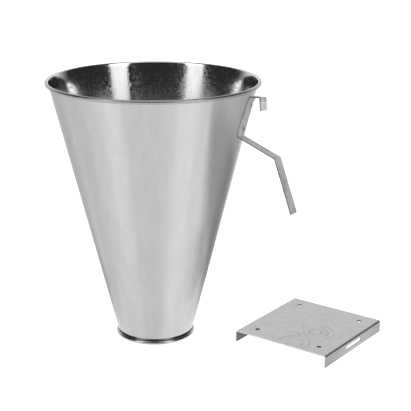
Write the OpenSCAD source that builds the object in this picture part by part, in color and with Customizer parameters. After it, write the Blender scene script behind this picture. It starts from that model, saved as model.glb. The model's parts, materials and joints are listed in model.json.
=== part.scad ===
// Poultry cone: a sheet-steel funnel with wired rims and a riveted hanger strip,
// standing on its outlet beside the loose wall plate that it hooks into.
// Millimetres. The origin is on the funnel's axis, level with the underside of the outlet.
// +Z is up, +X is the way the wall plate's slotted flange faces.

/* [Funnel] */
// Overall height, from the underside of the outlet bead to the top of the rim bead
funnel_h = 300; // [260:1:340]
// Outer diameter over the rim bead
rim_d = 240; // [200:1:280]
// Outer diameter over the outlet bead
outlet_d = 92; // [70:1:120]
// Thickness of the funnel's sheet
sheet_t = 0.6; // [0.5:0.1:1.0]
// Diameter of the wire rolled into each edge
edge_wire_d = 3; // [2:0.1:4]

/* [Seam] */
// Direction of the lengthwise lap seam, from +X towards +Y
seam_azimuth = 143; // [90:1:230]
// Width of the lap
seam_w = 8; // [5:0.5:12]
// How far the lap stands proud of the wall, inside and outside
seam_proud = 0.3; // [0.2:0.05:0.4]

/* [Hanger] */
// Direction in which the hanger points, from +X towards +Y
hanger_azimuth = 15; // [0:1:40]
// Slant of the riveted strip, off the funnel's slope line
hanger_slant = 10; // [0:1:14]
// Width of the strip
strip_w = 25; // [20:0.5:32]
// Thickness of the strip
strip_t = 1.5; // [1.2:0.1:2]
// Height of the middle of the strap, which lies against the funnel
strap_z = 267; // [262:1:270]
// Length of the strap, between its corners
strap_len = 46; // [42:1:52]
// Length of the level top of the hook
hook_top = 13; // [12:0.5:16]
// Length of the hook's leg
hook_leg = 15; // [12:0.5:20]
// Outward lean of the hook's leg, from upright
hook_lean = 6; // [0:1:8]
// Length of the upper arm of the strut
upper_arm = 48; // [40:1:55]
// Drop of the upper arm, below level
upper_arm_drop = 25; // [20:1:35]
// Length of the lower arm of the strut
lower_arm = 62; // [50:1:70]
// Outward lean of the lower arm, from upright
lower_arm_lean = 21; // [10:1:30]

/* [Rivets] */
// Diameter of the rivet's shank
rivet_d = 3.2; // [3:0.1:4]
// Diameter of the rivet's domed head
rivet_head_d = 6; // [5.5:0.1:7]
// Distance between the two rivets
rivet_pitch = 27; // [22:1:32]

/* [Wall plate] */
// Width between the outer faces of the two flanges
plate_w = 120; // [110:1:130]
// Length of each flange
plate_l = 126; // [115:1:135]
// Height of the flanges, over the web
plate_h = 14; // [12:0.5:18]
// Thickness of the plate's sheet
plate_t = 1.5; // [1.2:0.1:2]
// Place of the plate's middle, along X
plate_x = 155; // [150:1:170]
// Place of the plate's middle, along Y
plate_y = 92; // [88:1:110]
// Diameter of the four screw holes
screw_hole_d = 5.5; // [4.5:0.1:6.5]
// Distance between the screw holes along X
screw_pitch_x = 82; // [70:1:90]
// Distance between the screw holes along Y
screw_pitch_y = 92; // [80:1:100]
// Length of the hook slot, end to end
slot_l = 35; // [30:1:40]
// Height of the hook slot
slot_h = 4.5; // [4.2:0.1:5.5]

/* [Hidden] */
$fn = 96;

gap = 0.05;            // running clearance round wires, rivets and pins
contact_gap = 0.02;    // clearance between faces that lie against each other
lap = 0.01;            // how far the stretches of one section run into each other
wire_r = edge_wire_d / 2;
bead_bore_r = wire_r + gap;
bead_r = bead_bore_r + sheet_t;
curl_slit = 0.3;       // width of the slit where each curl closes
rim_slit_at = 255;     // angle of the rim curl's slit, seen in section
outlet_slit_at = 40;   // angle of the outlet curl's slit
outlet_bead_out = 1;   // how far the outlet bead's middle is outside the wall's outer face

// The rim bead is rolled outwards, tangent to the wall's inner face.
// The outlet bead is rolled outwards too, with its middle just outside the wall's outer face.
rim_bead_z = funnel_h - bead_r;
rim_bead_x = rim_d / 2 - bead_r;
outlet_bead_z = bead_r;
outlet_bead_x = outlet_d / 2 - bead_r;
wall_top_x = rim_bead_x - bead_bore_r;
wall_foot_x = outlet_bead_x - outlet_bead_out;
wall_slope = atan((wall_top_x - wall_foot_x) / (rim_bead_z - outlet_bead_z));
wall_across = sheet_t / cos(wall_slope);
seam_across = seam_proud / cos(wall_slope);
function wall_x(z) = wall_foot_x + (z - outlet_bead_z) * tan(wall_slope);

bend_r = 1.2;          // inside radius of every fold in strip and plate
rivet_len_inside = 3.2;
blind_head_r = 2.4;
blind_head_from = 0.75;
dome_h = 1;
dome_r = (pow(rivet_head_d / 2, 2) + pow(dome_h, 2)) / (2 * dome_h);
rivet_hole_r = rivet_d / 2 + gap;
pin_r = 0.85;
pin_head_r = 1.5;
pin_head_h = 1.1;
pin_recess = 0.45;
strap_face = contact_gap + strip_t;

steel = [0.72, 0.73, 0.74];
dull_steel = [0.6, 0.61, 0.62];
wire_steel = [0.5, 0.51, 0.53];

// Section of a folded sheet. It starts at the origin along +X, lies on the left of its path,
// and turns left by each angle in turns. Lengths run between the corners of its right face.
module folded(lengths, turns, t, k = 0, used = 0) {
    turn = k < len(turns) ? turns[k] : 0;
    face_r = turn > 0 ? bend_r + t : bend_r;
    setback = face_r * tan(abs(turn) / 2);
    run = lengths[k] - used - setback;
    translate([-lap, 0]) square([run + 2 * lap, t]);
    if (k < len(turns)) {
        centre_y = turn > 0 ? bend_r + t : -bend_r;
        translate([run, centre_y]) {
            fold(turn, t);
            rotate(turn) translate([0, -centre_y]) folded(lengths, turns, t, k + 1, setback);
        }
    }
}

// One fold of a sheet: a sector of a ring round the origin
module fold(turn, t) {
    reach = 4 * (bend_r + t);
    from = turn > 0 ? -90 : 90;
    intersection() {
        difference() {
            circle(r = bend_r + t);
            circle(r = bend_r);
        }
        polygon([[0, 0], for (k = [0 : 2]) reach * [cos(from + k * turn / 2), sin(from + k * turn / 2)]]);
    }
}

// Section of the wall, made thicker by extra on each side
module wall_section(extra, z_from, z_to) {
    polygon([
        [wall_x(z_from) - wall_across - extra, z_from],
        [wall_x(z_from) + extra, z_from],
        [wall_x(z_to) + extra, z_to],
        [wall_x(z_to) - wall_across - extra, z_to]
    ]);
}

module slit_section(at) {
    rotate(at) translate([0, -curl_slit / 2]) square([2 * bead_r, curl_slit]);
}

module shell_section() {
    difference() {
        union() {
            wall_section(0, outlet_bead_z, rim_bead_z);
            translate([rim_bead_x, rim_bead_z]) circle(r = bead_r);
            translate([outlet_bead_x, outlet_bead_z]) circle(r = bead_r);
        }
        translate([rim_bead_x, rim_bead_z]) {
            circle(r = bead_bore_r);
            slit_section(rim_slit_at);
        }
        translate([outlet_bead_x, outlet_bead_z]) {
            circle(r = bead_bore_r);
            slit_section(outlet_slit_at);
        }
    }
}

// The second thickness of sheet along the lap, a strip of even width up the wall
module lap_seam() {
    low = outlet_bead_z + 2 * bead_r;
    high = rim_bead_z - 2 * bead_r;
    intersection() {
        rotate_extrude() wall_section(seam_across, low, high);
        rotate([0, 0, seam_azimuth]) translate([0, -seam_w / 2, 0]) cube([rim_d, seam_w, funnel_h]);
    }
}

// Places its children on the funnel: X straight out of the wall, Z up the strap, Y across it
module on_strap(along = 0) {
    rotate([0, 0, hanger_azimuth])
        translate([wall_x(strap_z), 0, strap_z])
            rotate([0, wall_slope, 0])
                rotate([-hanger_slant, 0, 0])
                    translate([0, 0, along])
                        children();
}

module rivet_hole() {
    rotate([0, 90, 0]) cylinder(r = rivet_hole_r, h = 20, center = true);
}

module funnel_shell() {
    color(steel)
        difference() {
            union() {
                rotate_extrude() shell_section();
                lap_seam();
            }
            for (side = [-1, 1]) on_strap(side * rivet_pitch / 2) rivet_hole();
        }
}

module edge_wire(x, z) {
    color(wire_steel) rotate_extrude() translate([x, z]) circle(r = wire_r);
}

module rim_wire() {
    edge_wire(rim_bead_x, rim_bead_z);
}

module outlet_wire() {
    edge_wire(outlet_bead_x, outlet_bead_z);
}

// Section of the hanger, with the middle of the strap's inner face at the origin
module hanger_section() {
    rotate(90) mirror([0, 1])
        folded([strap_len / 2, hook_top, hook_leg], [90 - wall_slope, 90 - hook_lean], strip_t);
    rotate(-90)
        folded([strap_len / 2, upper_arm, lower_arm],
               [90 + wall_slope - upper_arm_drop, upper_arm_drop + lower_arm_lean - 90], strip_t);
}

module hanger_strip() {
    color(dull_steel)
        difference() {
            on_strap() translate([contact_gap, 0, 0])
                rotate([90, 0, 0]) linear_extrude(strip_w, center = true) hanger_section();
            for (side = [-1, 1]) on_strap(side * rivet_pitch / 2) rivet_hole();
        }
}

// A blind rivet on the X axis, its domed head outside and its swollen end inside the funnel
module blind_rivet() {
    bore_r = pin_r + gap;
    head_x = strap_face + contact_gap;
    end_x = -blind_head_from - rivet_len_inside;
    rotate([0, 90, 0])
        difference() {
            union() {
                intersection() {
                    translate([0, 0, head_x + dome_h - dome_r]) sphere(r = dome_r);
                    translate([0, 0, head_x]) cylinder(r = rivet_head_d / 2, h = dome_h + 1);
                }
                translate([0, 0, end_x]) cylinder(r = rivet_d / 2, h = head_x + 0.2 - end_x);
                intersection() {
                    translate([0, 0, -blind_head_from - blind_head_r * 0.6]) sphere(r = blind_head_r);
                    translate([0, 0, end_x]) cylinder(r = blind_head_r, h = rivet_len_inside);
                }
            }
            translate([0, 0, end_x - 1]) cylinder(r = bore_r, h = 20);
        }
}

// The broken-off pin that is left in a blind rivet
module rivet_pin() {
    end_x = -blind_head_from - rivet_len_inside - contact_gap;
    top_x = strap_face + contact_gap + dome_h - pin_recess;
    rotate([0, 90, 0]) {
        translate([0, 0, end_x - 0.2]) cylinder(r = pin_r, h = top_x - end_x + 0.2);
        translate([0, 0, end_x - pin_head_h]) cylinder(r1 = pin_head_r * 0.7, r2 = pin_head_r, h = pin_head_h);
    }
}

module upper_rivet() {
    color(steel) on_strap(rivet_pitch / 2) blind_rivet();
}

module lower_rivet() {
    color(steel) on_strap(-rivet_pitch / 2) blind_rivet();
}

module upper_rivet_pin() {
    color(wire_steel) on_strap(rivet_pitch / 2) rivet_pin();
}

module lower_rivet_pin() {
    color(wire_steel) on_strap(-rivet_pitch / 2) rivet_pin();
}

// A slot through the +X flange, with round ends
module hook_slot() {
    straight = slot_l - slot_h;
    translate([plate_w / 2, 0, plate_h / 2]) {
        cube([4 * plate_t, straight, slot_h], center = true);
        for (side = [-1, 1])
            translate([0, side * straight / 2, 0])
                rotate([0, 90, 0]) cylinder(r = slot_h / 2, h = 4 * plate_t, center = true);
    }
}

module wall_plate() {
    color(dull_steel)
        translate([plate_x, plate_y, 0])
            difference() {
                rotate([90, 0, 0])
                    linear_extrude(plate_l, center = true)
                        translate([plate_w / 2, 0])
                            rotate(90) folded([plate_h, plate_w, plate_h], [90, 90], plate_t);
                for (sx = [-1, 1], sy = [-1, 1])
                    translate([sx * screw_pitch_x / 2, sy * screw_pitch_y / 2, plate_h])
                        cylinder(r = screw_hole_d / 2, h = 4 * plate_t, center = true);
                hook_slot();
            }
}

funnel_shell();
rim_wire();
outlet_wire();
hanger_strip();
upper_rivet();
lower_rivet();
upper_rivet_pin();
lower_rivet_pin();
wall_plate();
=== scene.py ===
import json
import math

import bmesh
import bpy
from mathutils import Matrix, Vector, noise


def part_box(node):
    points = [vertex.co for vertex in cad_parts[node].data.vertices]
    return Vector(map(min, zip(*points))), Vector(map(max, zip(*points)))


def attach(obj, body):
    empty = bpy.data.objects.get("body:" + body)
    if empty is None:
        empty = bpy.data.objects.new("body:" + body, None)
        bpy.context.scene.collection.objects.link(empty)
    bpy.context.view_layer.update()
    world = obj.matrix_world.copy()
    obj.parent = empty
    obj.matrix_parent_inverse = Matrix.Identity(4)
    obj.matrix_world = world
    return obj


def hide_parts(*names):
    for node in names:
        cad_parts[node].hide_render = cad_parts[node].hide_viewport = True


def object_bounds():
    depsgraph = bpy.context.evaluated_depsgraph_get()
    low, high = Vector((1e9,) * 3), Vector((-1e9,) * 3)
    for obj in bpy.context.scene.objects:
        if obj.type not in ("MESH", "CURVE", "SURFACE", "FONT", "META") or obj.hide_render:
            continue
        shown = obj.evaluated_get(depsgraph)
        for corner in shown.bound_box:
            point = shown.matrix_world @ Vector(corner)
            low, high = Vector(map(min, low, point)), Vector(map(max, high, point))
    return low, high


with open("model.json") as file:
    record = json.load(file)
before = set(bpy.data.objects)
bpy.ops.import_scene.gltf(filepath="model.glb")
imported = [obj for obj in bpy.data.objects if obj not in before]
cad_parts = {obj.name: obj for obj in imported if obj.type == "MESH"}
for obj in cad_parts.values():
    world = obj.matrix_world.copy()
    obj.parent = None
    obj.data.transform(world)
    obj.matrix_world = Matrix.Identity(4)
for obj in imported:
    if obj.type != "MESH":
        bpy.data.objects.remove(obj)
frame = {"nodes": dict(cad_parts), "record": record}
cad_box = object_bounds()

MM = 0.001
NODES = frame["nodes"]
MOUNTS = {m["name"]: m for m in frame["record"]["mounts"]}

# ---------------------------------------------------------------- sizes that the frame doesn't state
# Lengths are in metres and angles in degrees.
SHEET = 0.6 * MM
STRIP = 1.5 * MM
FOLD_R = 1.2 * MM
WIRE_GAP = 0.05 * MM

# The funnel. The outlet bead's middle stands outside the wall's face; the wall is straight above the neck.
# A curl's angles are taken round its wire: 0 is outwards and 90 is up.
TURNS = 264
WALL_ROWS = 72
OUTLET_BEAD_OUT = 1.0 * MM
OUTLET_NECK = 6.5 * MM
OUTLET_CURL = (118, -180)
RIM_CURL_END = -138
OUTSIDE, INSIDE, RIM_BEAD, OUTLET_BEAD = range(4)

# The rolled sheet's unevenness: its height, how many waves fit round and up, and where it starts and ends.
RIPPLE = 0.12 * MM
RIPPLE_ROUND = 2.2
RIPPLE_UP = 6
RIPPLE_STARTS = 12 * MM
RIPPLE_ENDS = 10 * MM
RIPPLE_FADE = 30 * MM

# The lap seam. One edge stands proud, and the other edge and both ends are sunk in the wall.
SEAM_AZIMUTH = 143
SEAM_W = 8 * MM
SEAM_ROWS = 420
SEAM_COLUMNS = 24
SEAM_PROUD = 0.3 * MM
SEAM_SUNK = 0.1 * MM
SEAM_EDGE = 0.1 * MM
SEAM_OVER_OUTLET = 8 * MM
SEAM_UNDER_RIM = 1.5 * MM
WELD_PITCH = 24 * MM
WELD_R = 2.2 * MM
WELD_DENT = 0.1 * MM

# The hanger. The strap is its stretch on the wall, the hook is over it and the two arms are under it.
HANGER_AZIMUTH = 15
HANGER_SLANT = 10
STRAP_Z = 267 * MM
STRAP_GAP = 0.02 * MM
STRIP_W = 25 * MM
STRAP_L = 46 * MM
STRAP_FADE = 9 * MM
HOOK_TOP = 13 * MM
HOOK_LEG = 15 * MM
HOOK_LEAN = 6
UPPER_ARM = 48 * MM
UPPER_ARM_DROP = 25
LOWER_ARM = 62 * MM
LOWER_ARM_LEAN = 21
RIVET_PITCH = 27 * MM
RIVET_HOLE_R = 1.65 * MM
HANGER_STEP = 3 * MM
HANGER_ROUNDING = 0.22 * MM

# The wall plate.
SLOT_L = 35 * MM
SLOT_H = 4.5 * MM
PLATE_ROUNDING = 0.2 * MM
HOLE_EDGE = 0.15 * MM
# Material slots of the plate for the painted shade in its screw holes and underneath.
SHADED_HOLE_WALL, SHADED_UNDERSIDE = 1, 2

# ---------------------------------------------------------------- marks and painted shade on the metal
# Crystals are counted per metre.
CRYSTALS = 650
DULL_CRYSTALS = 210
HAZE_DEPTH = 36 * MM
# Painted shade: the factor the hook and arms are darkened by, and how far before each fold the change starts
# and ends.
HOOK_AND_ARM_SHADE = 0.62
FOLD_EDGE = (2.5 * MM, 0.5 * MM)
# Painted shadow round and under each rivet head: how dark it is, the radii over which it fades, and how far
# it is dropped below the head.
RIVET_SHADOW = 0.5
RIVET_SHADOW_EDGE = (3.0 * MM, 3.8 * MM)
RIVET_SHADOW_DROP = Vector((0, 0, -0.5 * MM))
# Painted shade round each rivet's pin: the radii over which the near-black shade fades out.
RIVET_PIN_SHADE = (1.4 * MM, 2.1 * MM)
# Each ring's middle in X and Y, from the plate's, and its radius.
PLATE_RINGS = (
    (17 * MM, -13 * MM, 7 * MM),
    (17 * MM, -13 * MM, 14 * MM),
    (17 * MM, -13 * MM, 21 * MM),
    (12 * MM, -52 * MM, 10 * MM),
    (12 * MM, -52 * MM, 18 * MM),
)
RING_WOBBLE = 4 * MM
RING_LINE = (0.2 * MM, 2.6 * MM)
PLATE_STAIN = 0.25
# Painted shade on the flanges: how much of their colour is kept at the plate's near end.
FLANGE_SHADE = 0.58

# ---------------------------------------------------------------- camera
CAMERA_AZIMUTH = 38.91
CAMERA_DISTANCE = 1.2225
CAMERA_HEIGHT = 0.5264
CAMERA_TURN = 2.73
CAMERA_DOWN = 16.96
CAMERA_ROLL = 0.27
CAMERA_CLIP = (0.01, 100)
FOCAL_PIXELS = 1115.3
FRAME_PIXELS = 411
SENSOR = 36.0

HEADING = math.radians(CAMERA_AZIMUTH)
TOWARDS_CAMERA = Vector((math.sin(HEADING), -math.cos(HEADING), 0))

# ---------------------------------------------------------------- light, as brightness seen in the metal
ROOM_DARK = 0.035
ROOM_BEHIND = 1.0
ROOM_BEHIND_EDGE = (0.35, 0.8)
ROOM_OVERHEAD = 0.25
ROOM_OVERHEAD_EDGE = (0.75, 0.9)
SOFTBOX_AZIMUTHS = (("left", -52), ("right", 42.5))
SOFTBOX_AIM = Vector((0, 0, 0.25))
FLOOR_HALF = 12.0
FLOOR_DROP = 0.2 * MM
FLOOR_GLOW = 1.0
FLOOR_LEAST = 0.1
# How much brighter or dimmer the floor is by direction. A pair is close to the funnel and further out.
FRONT_RIGHT_LIFT = (0.19, 0.11)
FRONT_LEFT_LIFT = 0.05
LEFT_DIM = 0.17
BACK_LEFT_DIM = 0.15
BACK_DIM = (0.55, 0.38)
RIGHT_DIM = 0.62


def make_camera():
    """The camera stands off the funnel's axis, turned a little to the right and down."""
    data = bpy.data.cameras.new("camera")
    data.sensor_width = SENSOR
    data.lens = FOCAL_PIXELS / FRAME_PIXELS * SENSOR
    data.clip_start, data.clip_end = CAMERA_CLIP
    camera = bpy.data.objects.new("camera", data)
    bpy.context.scene.collection.objects.link(camera)
    turn = Matrix.Rotation(math.radians(CAMERA_AZIMUTH - CAMERA_TURN), 4, "Z")
    down = Matrix.Rotation(math.radians(90 - CAMERA_DOWN), 4, "X")
    roll = Matrix.Rotation(math.radians(CAMERA_ROLL), 4, "Z")
    place = Matrix.Translation(TOWARDS_CAMERA * CAMERA_DISTANCE + Vector((0, 0, CAMERA_HEIGHT)))
    camera.matrix_world = place @ turn @ down @ roll
    bpy.context.scene.camera = camera


# ---------------------------------------------------------------- node helpers
class Nodes:
    """A short way to build a node tree; place is the point being shaded, or the direction in a world."""

    def __init__(self, tree, coordinates):
        self.tree = tree
        self.tree.nodes.clear()
        self.place = self.node("ShaderNodeTexCoord").outputs[coordinates]

    def node(self, kind, **settings):
        made = self.tree.nodes.new(kind)
        for key, value in settings.items():
            setattr(made, key, value)
        return made

    def link(self, source, target):
        self.tree.links.new(source, target)

    def feed(self, target, value):
        """Links a node's output to an input, or sets the input to a plain value."""
        if hasattr(value, "is_linked"):
            self.link(value, target)
        else:
            target.default_value = value

    def math(self, operation, a, b=0.0, c=0.0):
        made = self.node("ShaderNodeMath", operation=operation)
        for socket, value in zip(made.inputs, (a, b, c)):
            self.feed(socket, value)
        return made.outputs[0]

    def vector(self, operation, a, b=(0, 0, 0), output="Vector"):
        """Vector maths; output is Value where the result is a number."""
        made = self.node("ShaderNodeVectorMath", operation=operation)
        self.feed(made.inputs[0], a)
        self.feed(made.inputs[1], b)
        return made.outputs[output]

    def ramp(self, value, low, high, to_low=0.0, to_high=1.0):
        """A smooth step from to_low to to_high, as the value goes from low to high."""
        made = self.node("ShaderNodeMapRange", interpolation_type="SMOOTHSTEP")
        for socket, number in zip(made.inputs, (value, low, high, to_low, to_high)):
            self.feed(socket, number)
        return made.outputs[0]

    def height(self):
        made = self.node("ShaderNodeSeparateXYZ")
        self.link(self.place, made.inputs[0])
        return made.outputs["Z"]

    def seen_or_mirrored(self, seen, mirrored):
        """One value for what the camera sees and another for what the metal mirrors."""
        made = self.node("ShaderNodeMix", data_type="FLOAT")
        self.link(self.node("ShaderNodeLightPath").outputs["Is Camera Ray"], made.inputs[0])
        self.feed(made.inputs[2], mirrored)
        self.feed(made.inputs[3], seen)
        return made.outputs[0]


class Shader(Nodes):
    """One material's nodes."""

    def __init__(self, name):
        self.material = bpy.data.materials.new(name)
        self.material.use_nodes = True
        super().__init__(self.material.node_tree, "Object")
        self.bsdf = self.node("ShaderNodeBsdfPrincipled")
        output = self.node("ShaderNodeOutputMaterial")
        self.link(self.bsdf.outputs["BSDF"], output.inputs["Surface"])

    def scaled(self, factors, source=None):
        """The object's own coordinates, or a source's, stretched along each axis."""
        made = self.node("ShaderNodeMapping")
        self.link(source or self.place, made.inputs["Vector"])
        made.inputs["Scale"].default_value = factors
        return made.outputs[0]

    def noise(self, scale, detail, rough, source=None):
        made = self.node("ShaderNodeTexNoise")
        self.link(source or self.place, made.inputs["Vector"])
        made.inputs["Scale"].default_value = scale
        made.inputs["Detail"].default_value = detail
        made.inputs["Roughness"].default_value = rough
        return made.outputs["Fac"]

    def crystals(self, scale, source=None):
        """Cells with a brightness of their own each."""
        cells = self.node("ShaderNodeTexVoronoi")
        self.link(source or self.place, cells.inputs["Vector"])
        cells.inputs["Scale"].default_value = scale
        made = self.node("ShaderNodeRGBToBW")
        self.link(cells.outputs["Color"], made.inputs[0])
        return made.outputs[0]

    def mix(self, factor, a, b):
        made = self.node("ShaderNodeMix", data_type="RGBA")
        self.feed(made.inputs["Factor"], factor)
        self.feed(made.inputs[6], a)
        self.feed(made.inputs[7], b)
        return made.outputs[2]

    def dimmed(self, colour, factor):
        """A colour times a factor."""
        made = self.node("ShaderNodeVectorMath", operation="SCALE")
        self.feed(made.inputs[0], colour)
        self.feed(made.inputs["Scale"], factor)
        return made.outputs[0]

    def bump(self, height, distance, strength=1.0, normal=None):
        made = self.node("ShaderNodeBump")
        self.link(height, made.inputs["Height"])
        made.inputs["Distance"].default_value = distance
        made.inputs["Strength"].default_value = strength
        if normal:
            self.link(normal, made.inputs["Normal"])
        return made.outputs[0]

    def open_air(self, reach, samples):
        """How open the surroundings are within a reach: 1 in the open and 0 where closed in."""
        made = self.node("ShaderNodeAmbientOcclusion", samples=samples)
        made.inputs["Distance"].default_value = reach
        return made.outputs["AO"]

    def toward(self, direction):
        """Cosine between a direction on the floor and the way from the axis to this point."""
        flat = self.vector("NORMALIZE", self.scaled((1, 1, 0)))
        return self.vector("DOT_PRODUCT", flat, direction, "Value")

    def away(self):
        """Distance from the axis."""
        return self.vector("LENGTH", self.scaled((1, 1, 0)), output="Value")

    def apart(self, point):
        """Distance from a point."""
        return self.vector("DISTANCE", self.place, point, "Value")

    def along(self, start, direction):
        """Distance from a start, measured along a direction."""
        return self.vector("DOT_PRODUCT", self.vector("SUBTRACT", self.place, start), direction, "Value")

    def finish(self, colour, roughness, normal=None, metallic=1.0):
        self.feed(self.bsdf.inputs["Base Color"], colour)
        self.feed(self.bsdf.inputs["Roughness"], roughness)
        self.feed(self.bsdf.inputs["Metallic"], metallic)
        if normal:
            self.link(normal, self.bsdf.inputs["Normal"])
        return self.material


def grey(value):
    """A grey with a trace of blue, as zinc has."""
    return (value, value + 0.005, value + 0.01, 1)


# ---------------------------------------------------------------- materials
def bright_sheet(name, shade, rough, haze, ripple):
    """Bright galvanised sheet: clear and hazy crystals, draw lines down the slope and a slight ripple.

    Rough holds the roughness of a clear and of a hazy crystal.
    Haze holds the share of hazy ones at the rim and deeper down.
    """
    s = Shader(name)
    crystals = s.crystals(CRYSTALS)
    clouds = s.noise(30, detail=4, rough=0.6)
    lines = s.noise(1, detail=3, rough=0.6, source=s.scaled((900, 900, 14)))
    streaks = s.noise(1, detail=4, rough=0.6, source=s.scaled((120, 120, 3)))
    colour = s.mix(s.ramp(streaks, 0.3, 0.7), grey(shade * 0.97), grey(shade * 1.03))
    rim_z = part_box("rim_wire")[0][2]
    share = s.ramp(s.height(), rim_z - HAZE_DEPTH, rim_z, haze[1], haze[0])
    hazy = s.math("ADD", share, s.math("MULTIPLY_ADD", clouds, 0.8, -0.4))
    clear = s.ramp(s.math("SUBTRACT", crystals, hazy), -0.25, 0.25)
    roughness = s.math("MULTIPLY_ADD", clear, rough[0] - rough[1], rough[1])
    dents = s.noise(160, detail=4, rough=0.65)
    height = s.math("MULTIPLY_ADD", dents, 0.5, s.noise(14, detail=5, rough=0.6))
    waves = s.bump(height, ripple)
    return s.finish(colour, roughness, s.bump(lines, 0.02 * MM, 0.4, waves))


def dull_sheet(name, shade, contrast, hollow_shade=0.3, wear_and_shade=None):
    """Dull galvanised strip: flat crystals a few millimetres across, marks, scratches, and painted shade
    that darkens closed-in places.

    The fourth argument is how dark the painted shade makes the closed-in places.
    The last argument, if given, adds the piece's own marks, and any painted shade it holds, to the colour.
    """
    s = Shader(name)
    wobble = s.node("ShaderNodeTexNoise")
    s.link(s.place, wobble.inputs["Vector"])
    wobble.inputs["Scale"].default_value = 90
    warped = s.node("ShaderNodeVectorMath", operation="MULTIPLY_ADD")
    s.link(wobble.outputs["Color"], warped.inputs[0])
    warped.inputs[1].default_value = (6 * MM, 6 * MM, 6 * MM)
    s.link(s.place, warped.inputs[2])
    crystals = s.crystals(DULL_CRYSTALS, warped.outputs[0])
    marks = s.noise(38, detail=6, rough=0.62)
    lines = s.noise(1, detail=2, rough=0.5, source=s.scaled((60, 2400, 500)))
    scratches = s.ramp(lines, 0.66, 0.72)
    tone = s.math("MULTIPLY_ADD", crystals, 0.5, s.math("MULTIPLY", marks, 0.6))
    dark, pale = grey(shade * (1 - contrast)), grey(shade * (1 + contrast * 0.6))
    colour = s.mix(s.ramp(tone, 0.3, 0.8), dark, pale)
    colour = s.mix(s.math("MULTIPLY", scratches, 0.2), colour, grey(shade * 1.3))
    if wear_and_shade:
        colour = wear_and_shade(s, colour)
    # Painted shade: the colour goes darker where the surroundings are closed in.
    open_air = s.open_air(30 * MM, samples=6)
    colour = s.mix(s.ramp(open_air, 0.15, 0.45), grey(shade * hollow_shade), colour)
    rough = s.ramp(marks, 0.3, 0.7, 0.3, 0.3 + contrast)
    height = s.math("MULTIPLY_ADD", crystals, 0.5, marks)
    return s.finish(colour, rough, s.bump(height, contrast * 0.25 * MM))


def plain_metal(name, shade, rough):
    """Wire, pins, beads and the painted shade in holes: a fine grain."""
    s = Shader(name)
    grains = s.noise(1800, detail=3, rough=0.6)
    colour = s.mix(grains, grey(shade * 0.85), grey(shade * 1.1))
    roughness = s.ramp(grains, 0.3, 0.7, rough * 0.8, rough * 1.2)
    return s.finish(colour, roughness, s.bump(grains, 0.01 * MM))


def rivet_metal(section, side):
    """A dull rivet with painted shade, near black, round its pin; side is 1 for the upper, -1 for the lower.
    """
    s = Shader("rivet_metal")
    place = strap_place(section)
    middle = place @ Vector((0, 0, side * RIVET_PITCH / 2))
    across = s.along(middle, place.to_3x3() @ Vector((0, 1, 0)))
    up = s.along(middle, place.to_3x3() @ Vector((0, 0, 1)))
    squares = s.math("ADD", s.math("MULTIPLY", across, across), s.math("MULTIPLY", up, up))
    # Painted shade: the head is near black round its pin.
    past_pin_shade = s.ramp(s.math("SQRT", squares), *RIVET_PIN_SHADE)
    return s.finish(s.mix(past_pin_shade, grey(0.05), grey(0.42)), 0.3)


def plate_stains_and_shade(s, colour):
    """Faint broken rings, as drops leave on a plate, and painted shade on the flanges, strongest towards
    their near end.
    """
    low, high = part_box("wall_plate")
    middle = Vector(MOUNTS["wall_face"]["pos_m"])
    rings = None
    wobble = s.math("MULTIPLY", s.noise(60, detail=3, rough=0.5), RING_WOBBLE)
    for offset_x, offset_y, radius in PLATE_RINGS:
        away = s.math("ADD", s.apart(middle + Vector((offset_x, offset_y, 0))), wobble)
        off_ring = s.math("ABSOLUTE", s.math("SUBTRACT", away, radius + RING_WOBBLE / 2))
        band = s.ramp(off_ring, *RING_LINE, 1.0, 0.0)
        rings = band if rings is None else s.math("MAXIMUM", rings, band)
    broken = s.ramp(s.noise(45, detail=4, rough=0.6), 0.42, 0.62)
    stain = s.math("MULTIPLY", rings, broken)
    colour = s.dimmed(colour, s.math("MULTIPLY_ADD", stain, -PLATE_STAIN, 1.0))
    # Painted shade: the flanges are darkened towards the plate's near end.
    flange = s.ramp(s.height(), high[2] - 3 * MM, high[2] - MM, 1.0, 0.0)
    fade = 0.7 * (high[1] - low[1])
    near = s.ramp(s.along(Vector(low), (0, 1, 0)), 0.0, fade, 1 - FLANGE_SHADE, 0.0)
    return s.dimmed(colour, s.math("SUBTRACT", 1.0, s.math("MULTIPLY", flange, near)))


def strip_painted_shade(section):
    """The hanger's painted shade: a pale strap, darker hook and arms, and a painted shadow round both rivet
    heads.
    """
    place = strap_place(section)
    up = place.to_3x3() @ Vector((0, 0, 1))

    def build(s, colour):
        up_strap = s.math("ABSOLUTE", s.along(place.translation, up))
        start, end = (STRAP_L / 2 - edge for edge in FOLD_EDGE)
        # Painted shade: the hook and the arms are darker than the strap.
        colour = s.dimmed(colour, s.ramp(up_strap, start, end, 1.0, HOOK_AND_ARM_SHADE))
        for rivet in ("upper_rivet", "lower_rivet"):
            # Painted shadow round each rivet head, dropped a little below it.
            low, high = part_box(rivet)
            middle = (Vector(low) + Vector(high)) / 2 + RIVET_SHADOW_DROP
            rivet_shadow = s.ramp(s.apart(middle), *RIVET_SHADOW_EDGE, RIVET_SHADOW, 1.0)
            colour = s.dimmed(colour, rivet_shadow)
        return colour

    return build


# ---------------------------------------------------------------- mesh helpers
def new_piece(name, mesh, body, *materials):
    """Puts a mesh into the scene as a piece that rides on a body."""
    piece = bpy.data.objects.new(name, mesh)
    bpy.context.scene.collection.objects.link(piece)
    for material in materials:
        mesh.materials.append(material)
    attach(piece, body)
    return piece


def smooth(mesh, sharp_angle):
    """Shades a mesh smooth, apart from edges sharper than an angle in degrees."""
    for face in mesh.polygons:
        face.use_smooth = True
    mesh.set_sharp_from_angle(angle=math.radians(sharp_angle))


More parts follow.
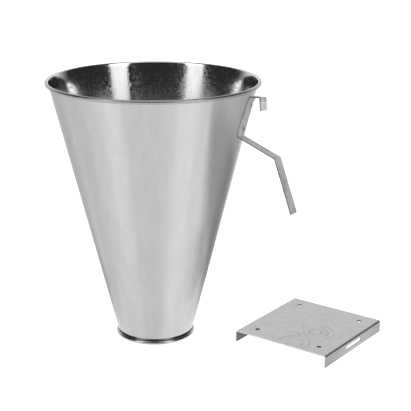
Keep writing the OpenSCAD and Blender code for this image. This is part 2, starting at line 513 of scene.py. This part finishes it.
def arc(centre, radius, start, end, steps):
    """Points on an arc, from start to end in degrees."""
    angles = [math.radians(start + (end - start) * k / steps) for k in range(steps + 1)]
    return [Vector((centre[0] + radius * math.cos(a), centre[1] + radius * math.sin(a))) for a in angles]


def applied(piece, kind, **settings):
    """Adds a modifier and bakes it into the mesh."""
    modifier = piece.modifiers.new(kind.lower(), kind)
    for key, value in settings.items():
        setattr(modifier, key, value)
    bpy.context.view_layer.update()
    graph = bpy.context.evaluated_depsgraph_get()
    mesh = bpy.data.meshes.new_from_object(piece.evaluated_get(graph))
    piece.modifiers.clear()
    old = piece.data
    piece.data = mesh
    bpy.data.meshes.remove(old)
    return piece


def softened(piece, place, width):
    """Moves a sheet piece into place, rounds its sharp edges and returns its mesh."""
    piece.data.transform(place)
    smooth(piece.data, 30)
    applied(piece, "BEVEL", width=width, segments=2, limit_method="ANGLE", angle_limit=math.radians(30))
    smooth(piece.data, 80)
    applied(piece, "WEIGHTED_NORMAL", weight=80, keep_sharp=True)
    mesh = piece.data
    bpy.data.objects.remove(piece)
    return mesh


def cylinder_cutter(radius, length, place):
    """A round cutter about its own Z, moved into place."""
    cutter = bmesh.new()
    bmesh.ops.create_cone(cutter, cap_ends=True, segments=48, radius1=radius, radius2=radius, depth=length)
    bmesh.ops.transform(cutter, matrix=place, verts=cutter.verts)
    mesh = bpy.data.meshes.new("cutter")
    cutter.to_mesh(mesh)
    cutter.free()
    return mesh


def stepped(outline, step):
    """The same closed outline, with points added so that no side is much longer than step."""
    points = []
    for k, here in enumerate(outline):
        there = outline[(k + 1) % len(outline)]
        parts = max(1, round((there - here).length / step))
        points += [here.lerp(there, j / parts) for j in range(parts)]
    return points


def prism(outline, length, slices=1):
    """A closed outline in X and Z, drawn out along Y about Y = 0."""
    solid = bmesh.new()
    sections = []
    for k in range(slices + 1):
        y = length * (k / slices - 0.5)
        sections.append([solid.verts.new((p.x, y, p.y)) for p in outline])
    solid.faces.new(sections[0])
    solid.faces.new(reversed(sections[-1]))
    count = len(outline)
    for near, far in zip(sections, sections[1:]):
        for k in range(count):
            solid.faces.new((near[k], far[k], far[(k + 1) % count], near[(k + 1) % count]))
    bmesh.ops.recalc_face_normals(solid, faces=solid.faces)
    mesh = bpy.data.meshes.new("prism")
    solid.to_mesh(mesh)
    solid.free()
    return mesh


def cut(piece, cutters):
    """Takes every cutter mesh out of the piece."""
    for mesh in cutters:
        tool = bpy.data.objects.new("cutter", mesh)
        bpy.context.scene.collection.objects.link(tool)
        applied(piece, "BOOLEAN", operation="DIFFERENCE", object=tool, solver="EXACT")
        bpy.data.objects.remove(tool)
        bpy.data.meshes.remove(mesh)


def folded_outline(lengths, turns, thickness, steps=10):
    """Outline of a folded sheet and the start and direction of each of its stretches."""
    right, left, stretches = [], [], []
    here, heading, used = Vector((0, 0)), 0.0, 0.0
    for k, length in enumerate(lengths):
        turn = turns[k] if k < len(turns) else 0.0
        inner = FOLD_R + (thickness if turn > 0 else 0)
        setback = inner * math.tan(math.radians(abs(turn)) / 2)
        along = Vector((math.cos(math.radians(heading)), math.sin(math.radians(heading))))
        side = Vector((-along.y, along.x))
        stretches.append((here - along * used, along))
        right.append(here.copy())
        left.append(here + side * thickness)
        here = here + along * (length - used - setback)
        right.append(here.copy())
        left.append(here + side * thickness)
        if not turn:
            break
        way = 1 if turn > 0 else -1
        centre = here + side * way * inner
        first = heading - 90 * way
        right += arc(centre, inner, first, first + turn, steps)[1:-1]
        other = inner - way * thickness
        left += arc(centre, other, first, first + turn, steps)[1:-1]
        heading += turn
        here = arc(centre, inner, first, first + turn, 1)[1]
        used = setback
    return right + left[::-1], stretches


# ---------------------------------------------------------------- funnel
class Section:
    """The funnel's section, worked out from the boxes of its shell and its two wires."""

    def __init__(self):
        shell_low, shell_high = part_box("funnel_shell")
        self.rim = self.bead("rim_wire")
        self.outlet = self.bead("outlet_wire")
        self.height = shell_high[2] - shell_low[2]
        self.bore = self.rim[2] + WIRE_GAP
        self.middle = self.bore + SHEET / 2
        self.foot = self.outlet[0] - OUTLET_BEAD_OUT
        self.slope = math.atan2(self.rim[0] - self.bore - self.foot, self.rim[1] - self.outlet[1])

    def bead(self, node):
        """Radius of the ring, its height and the radius of its wire."""
        low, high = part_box(node)
        wire = (high[2] - low[2]) / 2
        return (high[0] - low[0]) / 2 - wire, (high[2] + low[2]) / 2, wire

    def wall(self, z):
        """Radius of the wall's outer face."""
        return self.foot + (z - self.outlet[1]) * math.tan(self.slope)

    def path(self):
        """Middle line of the sheet, from the end of the outlet curl to the end of the rim curl."""
        degrees = math.degrees(self.slope)
        rim, outlet = Vector(self.rim[:2]), Vector(self.outlet[:2])
        foot = arc(outlet, self.middle, *OUTLET_CURL, 52)
        head = arc(rim, self.middle, 180 - degrees, RIM_CURL_END, 40)
        half = SHEET / 2 / math.cos(self.slope)
        low_z, high_z = outlet.y + OUTLET_NECK, head[0].y
        wall = []
        for k in range(WALL_ROWS):
            z = low_z + (high_z - low_z) * k / WALL_ROWS
            wall.append(Vector((self.wall(z) - half, z)))
        neck = self.blend(foot[-1], Vector((0, 1)), wall[0], (wall[1] - wall[0]).normalized(), 12)
        return foot + neck + wall + head

    def slot_of(self, point, inner):
        """Material slot at a point; the rim's bead counts only from about its top outwards."""
        reach = self.middle + SHEET
        if (point - Vector(self.outlet[:2])).length < reach:
            return OUTLET_BEAD
        on_rim = (point - Vector(self.rim[:2])).length < reach
        if on_rim and point.x > self.rim[0] - 0.3 * self.middle:
            return RIM_BEAD
        return INSIDE if inner else OUTSIDE

    def blend(self, start, leave, end, arrive, steps):
        """A smooth curve between two points, without its ends."""
        reach = (end - start).length
        points = []
        for k in range(1, steps):
            t = k / steps
            points.append(
                start * (2 * t**3 - 3 * t**2 + 1)
                + leave * reach * (t**3 - 2 * t**2 + t)
                + end * (3 * t**2 - 2 * t**3)
                + arrive * reach * (t**3 - t**2)
            )
        return points


def offset_line(points, distance):
    """A line beside another one, to its right as it runs."""
    moved = []
    for k, point in enumerate(points):
        before, after = points[max(k - 1, 0)], points[min(k + 1, len(points) - 1)]
        along = (after - before).normalized()
        moved.append(point + Vector((along.y, -along.x)) * distance)
    return moved


def ripple(azimuth, z, section):
    """Slight unevenness of the rolled sheet, gone at both beads."""
    over_outlet = min(1, max(0, (z - RIPPLE_STARTS) / RIPPLE_FADE))
    under_rim = min(1, max(0, (section.height - RIPPLE_ENDS - z) / RIPPLE_FADE))
    place = Vector((math.cos(azimuth) * RIPPLE_ROUND, math.sin(azimuth) * RIPPLE_ROUND, z * RIPPLE_UP))
    return noise.noise(place) * (over_outlet * under_rim) * RIPPLE


def make_funnel(section, *materials):
    """The sheet: one closed section, turned round the axis."""
    middle = section.path()
    outer = offset_line(middle, SHEET / 2)
    inner = offset_line(middle, -SHEET / 2)
    loop = outer + inner[::-1]
    count = len(outer)
    solid = bmesh.new()
    rings = []
    for step in range(TURNS):
        angle = 2 * math.pi * step / TURNS
        ring = []
        for point in loop:
            radius = point.x + ripple(angle, point.y, section)
            ring.append(solid.verts.new((radius * math.cos(angle), radius * math.sin(angle), point.y)))
        rings.append(ring)
    for step in range(TURNS):
        here, there = rings[step], rings[(step + 1) % TURNS]
        for k in range(len(loop)):
            after = (k + 1) % len(loop)
            face = solid.faces.new((here[k], there[k], there[after], here[after]))
            face.material_index = section.slot_of(loop[k], k >= count)
    bmesh.ops.recalc_face_normals(solid, faces=solid.faces)
    mesh = bpy.data.meshes.new("funnel_sheet")
    solid.to_mesh(mesh)
    solid.free()
    smooth(mesh, 50)
    piece = new_piece("funnel_sheet", mesh, "funnel", *materials)
    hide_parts("funnel_shell")
    return piece


def seam_height(along, z, low, high):
    """Height of the lap over the wall, at a distance along from the edge that stands proud."""
    rise = (SEAM_PROUD + SEAM_SUNK) * min(1, along / SEAM_EDGE) * (1 - along / SEAM_W)
    end = min(1, (z - low) / MM, (high - z) / MM)
    nearest = round((z - low) / WELD_PITCH) * WELD_PITCH + low
    dent = math.exp(-((((along - SEAM_W / 2) ** 2 + (z - nearest) ** 2) / WELD_R**2) ** 2))
    return rise * end - SEAM_SUNK - WELD_DENT * dent


def seam_grid(solid, section, side, low, high):
    """Rows of points over one face of the lap; side is 1 outside and -1 inside."""
    flat = SEAM_W - 2 * SEAM_EDGE
    acrosses = [-SEAM_W / 2]
    acrosses += [SEAM_EDGE - SEAM_W / 2 + flat * k / (SEAM_COLUMNS - 2) for k in range(SEAM_COLUMNS - 1)]
    acrosses.append(SEAM_W / 2)
    grid = []
    for row in range(SEAM_ROWS + 1):
        z = low + (high - low) * row / SEAM_ROWS
        wall = section.wall(z) - (0 if side > 0 else SHEET / math.cos(section.slope))
        line = []
        for across in acrosses:
            radius = wall + side * seam_height(SEAM_W / 2 - side * across, z, low, high)
            angle = math.radians(SEAM_AZIMUTH) + across / section.wall(z)
            line.append(solid.verts.new((radius * math.cos(angle), radius * math.sin(angle), z)))
        grid.append(line)
    return grid


def make_seam(section, outside, inside):
    """The lap: on each side one edge stands proud and the other runs out level, with spot welds in a row."""
    rows, columns = SEAM_ROWS, SEAM_COLUMNS
    low, high = section.outlet[1] + SEAM_OVER_OUTLET, section.rim[1] - SEAM_UNDER_RIM
    solid = bmesh.new()
    grids = [seam_grid(solid, section, side, low, high) for side in (1, -1)]
    for index, grid in enumerate(grids):
        for here, above in zip(grid, grid[1:]):
            for column in range(columns):
                after = column + 1
                face = solid.faces.new((here[column], here[after], above[after], above[column]))
                face.material_index = (OUTSIDE, INSIDE)[index]
    outline = [(row, 0) for row in range(rows)]
    outline += [(rows, column) for column in range(columns)]
    outline += [(row, columns) for row in range(rows, 0, -1)]
    outline += [(0, column) for column in range(columns, 0, -1)]
    outer, inner = ([grid[row][column] for row, column in outline] for grid in grids)
    for k in range(len(outline)):
        after = (k + 1) % len(outline)
        solid.faces.new((outer[k], outer[after], inner[after], inner[k]))
    bmesh.ops.recalc_face_normals(solid, faces=solid.faces)
    mesh = bpy.data.meshes.new("lap_seam")
    solid.to_mesh(mesh)
    solid.free()
    smooth(mesh, 50)
    piece = new_piece("lap_seam", mesh, "funnel", outside, inside)
    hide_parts("funnel_shell")
    return piece


# ---------------------------------------------------------------- hanger
def strap_place(section):
    """Frame of the strap: X out of the wall, Z up the strap, Y across it."""
    return (
        Matrix.Rotation(math.radians(HANGER_AZIMUTH), 4, "Z")
        @ Matrix.Translation((section.wall(STRAP_Z), 0, STRAP_Z))
        @ Matrix.Rotation(section.slope, 4, "Y")
        @ Matrix.Rotation(math.radians(-HANGER_SLANT), 4, "X")
    )


def wrap_strap(mesh, section):
    """Bends the strap between its folds to lie along the wall."""
    wall_r = section.wall(STRAP_Z) / math.cos(section.slope)
    lean = math.radians(HANGER_SLANT)
    for vertex in mesh.vertices:
        x, y, z = vertex.co
        if x > 2 * STRIP or abs(z) > STRAP_L / 2:
            continue
        fade = min(1, (STRAP_L / 2 - abs(z)) / STRAP_FADE)
        fade = fade * fade * (3 - 2 * fade)
        round_wall = y * math.cos(lean) + z * math.sin(lean)
        vertex.co.x = x - (wall_r - math.sqrt(wall_r**2 - round_wall**2)) * fade


def make_hanger(section, material):
    """One strip, folded into hook, strap and strut, with two rivet holes and dulled edges."""
    slope = math.degrees(section.slope)
    outline, stretches = folded_outline(
        [HOOK_LEG, HOOK_TOP, STRAP_L, UPPER_ARM, LOWER_ARM],
        [90 - HOOK_LEAN, 90 - slope, 90 + slope - UPPER_ARM_DROP, UPPER_ARM_DROP + LOWER_ARM_LEAN - 90],
        STRIP,
    )
    start, along = stretches[2]
    middle = start + along * STRAP_L / 2
    turn = Matrix.Rotation(math.radians(-90) - math.atan2(along.y, along.x), 2)
    outline = stepped([turn @ (point - middle) for point in outline], HANGER_STEP)
    piece = bpy.data.objects.new("hanger", prism(outline, STRIP_W, 12))
    bpy.context.scene.collection.objects.link(piece)
    lie = Matrix.Rotation(math.radians(90), 4, "Y")
    places = [Matrix.Translation((0, 0, side * RIVET_PITCH / 2)) @ lie for side in (-1, 1)]
    cut(piece, [cylinder_cutter(RIVET_HOLE_R, 20 * MM, place) for place in places])
    wrap_strap(piece.data, section)
    off_wall = Matrix.Translation((STRAP_GAP, 0, 0))
    mesh = softened(piece, strap_place(section) @ off_wall, HANGER_ROUNDING)
    piece = new_piece("hanger", mesh, "funnel", material)
    piece.visible_glossy = False
    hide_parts("hanger_strip")
    return piece


# ---------------------------------------------------------------- wall plate
def make_plate(material, hole_shade_material, underside_shade_material):
    """The folded plate with four screw holes and the hook's slot, with painted shade in its holes and
    underneath.
    """
    low, high = (Vector(corner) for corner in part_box("wall_plate"))
    width, length, height = high - low
    outline, _ = folded_outline([height, width, height], [90, 90], STRIP)
    middle = Vector(((low.x + high.x) / 2, (low.y + high.y) / 2, low.z))
    outline = [Vector((width / 2 - point.y, point.x)) for point in outline]
    piece = bpy.data.objects.new("plate", prism(outline, length))
    bpy.context.scene.collection.objects.link(piece)

    holes = MOUNTS["screw_holes"]["dims"]
    hole_r = holes["hole_r_mm"] * MM
    reach = 8 * MM
    spots = [
        Vector((side_x * holes["spacing_x_mm"] / 2 * MM, side_y * holes["spacing_y_mm"] / 2 * MM, height))
        for side_x in (-1, 1)
        for side_y in (-1, 1)
    ]
    cutters = [cylinder_cutter(hole_r, reach, Matrix.Translation(spot)) for spot in spots]
    slot_z = MOUNTS["hook_slot"]["pos_m"][2]
    straight = SLOT_L - SLOT_H
    ends = arc((straight / 2, slot_z), SLOT_H / 2, -90, 90, 16)
    ends += arc((-straight / 2, slot_z), SLOT_H / 2, 90, 270, 16)
    slot_mesh = prism(ends, reach)
    quarter = Matrix.Rotation(math.radians(-90), 4, "Z")
    slot_mesh.transform(Matrix.Translation((width / 2, 0, 0)) @ quarter)
    cut(piece, cutters + [slot_mesh])
    mesh = softened(piece, Matrix.Translation(middle), PLATE_ROUNDING)
    under = 0.9 * STRIP
    for face in mesh.polygons:
        place = face.center - middle
        # Painted shade: the walls of the screw holes get a near-black material.
        if any((place - spot).xy.length < hole_r + HOLE_EDGE for spot in spots):
            face.material_index = SHADED_HOLE_WALL
        # Painted shade: the faces inside the channel get a darker copy of the plate's material.
        within = abs(place.x) < width / 2 - under and place.z < height - under
        if within and abs(face.normal.y) < 0.5:
            face.material_index = SHADED_UNDERSIDE
    piece = new_piece("plate", mesh, "wall_plate", material, hole_shade_material, underside_shade_material)
    piece.visible_glossy = False
    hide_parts("wall_plate")
    return piece


# ---------------------------------------------------------------- studio
def from_camera(azimuth):
    """Direction on the floor, by its angle from the camera's direction; positive is to its right."""
    return (Matrix.Rotation(math.radians(azimuth), 3, "Z") @ TOWARDS_CAMERA).normalized()


def make_world():
    """A dark room with a bright wall behind the piece and a dim ceiling; the camera sees plain white."""
    world = bpy.data.worlds.new("studio")
    bpy.context.scene.world = world
    world.use_nodes = True
    s = Nodes(world.node_tree, "Generated")
    behind = s.vector("DOT_PRODUCT", s.place, -TOWARDS_CAMERA, "Value")
    wall = s.math("MULTIPLY_ADD", s.ramp(behind, *ROOM_BEHIND_EDGE), ROOM_BEHIND, ROOM_DARK)
    strength = s.math("MULTIPLY_ADD", s.ramp(s.height(), *ROOM_OVERHEAD_EDGE), ROOM_OVERHEAD, wall)
    background = s.node("ShaderNodeBackground")
    background.inputs["Color"].default_value = (1, 1, 1, 1)
    s.link(s.seen_or_mirrored(1.0, strength), background.inputs["Strength"])
    output = s.node("ShaderNodeOutputWorld")
    s.link(background.outputs[0], output.inputs["Surface"])


def softbox(name, azimuth, elevation, distance, width, height, radiance):
    """A soft light, placed by its angle from the camera's direction; radiance is how bright it looks."""
    data = bpy.data.lights.new(name, "AREA")
    data.shape = "RECTANGLE"
    data.size, data.size_y = width, height
    data.energy = radiance * math.pi * width * height
    light = bpy.data.objects.new(name, data)
    bpy.context.scene.collection.objects.link(light)
    flat = from_camera(azimuth)
    rise = math.radians(elevation)
    light.location = SOFTBOX_AIM + (flat * math.cos(rise) + Vector((0, 0, math.sin(rise)))) * distance
    light.rotation_euler = (SOFTBOX_AIM - light.location).to_track_quat("-Z", "Y").to_euler()
    light.visible_diffuse = False


def sector(s, azimuth, edge, full, amount):
    """An amount that comes in towards an azimuth; edge and full are cosines of the angle from it."""
    return s.ramp(s.toward(from_camera(azimuth)), edge, full, 0.0, amount)


def floor_glow(s, x, y):
    """The floor's brightness as the metal mirrors it: uneven, and dark behind and on the right."""
    away = s.away()
    front_right = sector(s, 45, 0.75, 0.97, s.ramp(away, 0.15, 0.35, *FRONT_RIGHT_LIFT))
    front_left = sector(s, -50, 0.9, 1.0, FRONT_LEFT_LIFT)
    left = sector(s, -168, -0.15, 0.3, LEFT_DIM)
    left = s.math("ADD", left, sector(s, -145, 0.85, 0.97, BACK_LEFT_DIM))
    spread = s.ramp(away, 0.12, 0.25, -0.05, 0.3)
    behind = sector(s, 180, spread, 0.9, s.ramp(away, 0.15, 0.4, *BACK_DIM))
    start = s.ramp(away, 0.25, 0.5, 0.06, 0.09)
    end = s.ramp(away, 0.25, 0.5, 0.24, 0.15)
    right = s.math("MULTIPLY", s.ramp(y, start, end, 0.0, RIGHT_DIM), s.ramp(x, -0.1, 0.1))
    right = s.math("MULTIPLY", right, s.ramp(away, 0.5, 0.6, 1.0, 0.5))
    near = s.ramp(away, 1.1, 2.0, 1.0, 0.0)
    dark = s.math("MULTIPLY", s.math("ADD", behind, right), near)
    bright = s.math("ADD", s.math("ADD", front_right, front_left), FLOOR_GLOW)
    return s.math("MAXIMUM", s.math("SUBTRACT", bright, s.math("ADD", left, dark)), FLOOR_LEAST)


def plate_shadow_mask(s, x, y):
    """Mask of a painted shadow: one where the wall plate covers the floor, up to its plain flange and within
    its other three sides, and only where the floor is closed in.
    """
    low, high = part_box("wall_plate")
    inset, front, soft = 10 * MM, 27 * MM, 6 * MM
    covered = None
    for place, start, end in (
        (x, low[0] - soft / 2, high[0] - inset),
        (y, low[1] + front, high[1] - inset),
    ):
        past_start = s.ramp(place, start, start + soft)
        before_end = s.ramp(place, end - soft, end, 1.0, 0.0)
        inside = s.math("MULTIPLY", past_start, before_end)
        covered = inside if covered is None else s.math("MULTIPLY", covered, inside)
    open_air = s.open_air(2 * (high[2] - low[2]), samples=8)
    return s.math("MULTIPLY", covered, s.ramp(open_air, 0.35, 0.6, 1.0, 0.0))


def make_floor():
    """A wide pale floor that glows, with a painted shadow, near black, where the wall plate covers it."""
    mesh = bpy.data.meshes.new("floor")
    corners = [(x * FLOOR_HALF, y * FLOOR_HALF, 0) for x, y in ((-1, -1), (1, -1), (1, 1), (-1, 1))]
    mesh.from_pydata(corners, [], [(0, 1, 2, 3)])
    floor = bpy.data.objects.new("floor", mesh)
    bpy.context.scene.collection.objects.link(floor)
    s = Shader("floor_paper")
    grain = s.noise(600, detail=2, rough=0.5)
    apart = s.node("ShaderNodeSeparateXYZ")
    s.link(s.place, apart.inputs[0])
    x, y = apart.outputs["X"], apart.outputs["Y"]
    # Painted shadow: under the plate, the floor's colour and its glow as the camera sees it go near black.
    lit = s.math("SUBTRACT", 1.0, plate_shadow_mask(s, x, y))
    glow = s.seen_or_mirrored(lit, floor_glow(s, x, y))
    pale = s.mix(grain, (0.9, 0.9, 0.9, 1), (0.92, 0.92, 0.92, 1))
    paper = s.mix(lit, (0.02, 0.02, 0.02, 1), pale)
    s.bsdf.inputs["Emission Color"].default_value = (1, 1, 1, 1)
    s.link(glow, s.bsdf.inputs["Emission Strength"])
    mesh.materials.append(s.finish(paper, 0.12, metallic=0.0))
    floor.location.z = cad_box[0][2] - FLOOR_DROP


def make_studio():
    """The room, the floor and, on each side, a tall soft light with a brighter patch before it."""
    make_world()
    make_floor()
    for side, azimuth in SOFTBOX_AZIMUTHS:
        softbox(side + "_front", azimuth, 45.5, distance=2.0, width=0.8, height=4.1, radiance=1.35)
        softbox(side + "_high", azimuth, 27, distance=1.9, width=0.8, height=0.45, radiance=1.6)
    scene = bpy.context.scene
    scene.view_settings.view_transform = "Standard"
    scene.view_settings.look = "None"


# ---------------------------------------------------------------- build
def dress_node(node, material):
    """Gives a CAD node its material."""
    carried = NODES[node]
    carried.data.materials.clear()
    carried.data.materials.append(material)


def main():
    """Every piece and its materials, then the studio."""
    make_camera()
    section = Section()
    outside = bright_sheet(
        "bright_sheet_outside", shade=0.445, rough=(0.15, 0.2), haze=(0.3, 0.3), ripple=0.04 * MM
    )
    inside = bright_sheet(
        "bright_sheet_inside", shade=0.6, rough=(0.09, 0.22), haze=(0.25, 0.75), ripple=0.06 * MM
    )
    rim_bead = plain_metal("rolled_rim", shade=0.36, rough=0.3)
    outlet_bead = plain_metal("rolled_outlet", shade=0.46, rough=0.16)
    make_funnel(section, outside, inside, rim_bead, outlet_bead)
    make_seam(section, outside, inside)
    strip = dull_sheet("dull_strip", shade=0.54, contrast=0.18, hollow_shade=0.7, wear_and_shade=strip_painted_shade(section))
    make_hanger(section, strip)
    make_plate(
        dull_sheet("dull_plate", shade=0.5, contrast=0.07, wear_and_shade=plate_stains_and_shade),
        # Painted shade: near black in the screw holes, and a darker copy of the plate's material underneath.
        plain_metal("painted_hole_shade", shade=0.06, rough=0.6),
        dull_sheet("painted_underside_shade", shade=0.17, contrast=0.07),
    )
    wire = plain_metal("drawn_wire", shade=0.5, rough=0.35)
    # Painted shade: the rivet pins are near black.
    pin = plain_metal("pin_metal", shade=0.08, rough=0.45)
    for node, material in (
        ("rim_wire", wire),
        ("outlet_wire", wire),
        ("upper_rivet", rivet_metal(section, 1)),
        ("lower_rivet", rivet_metal(section, -1)),
        ("upper_rivet_pin", pin),
        ("lower_rivet_pin", pin),
    ):
        dress_node(node, material)
    make_studio()


main()
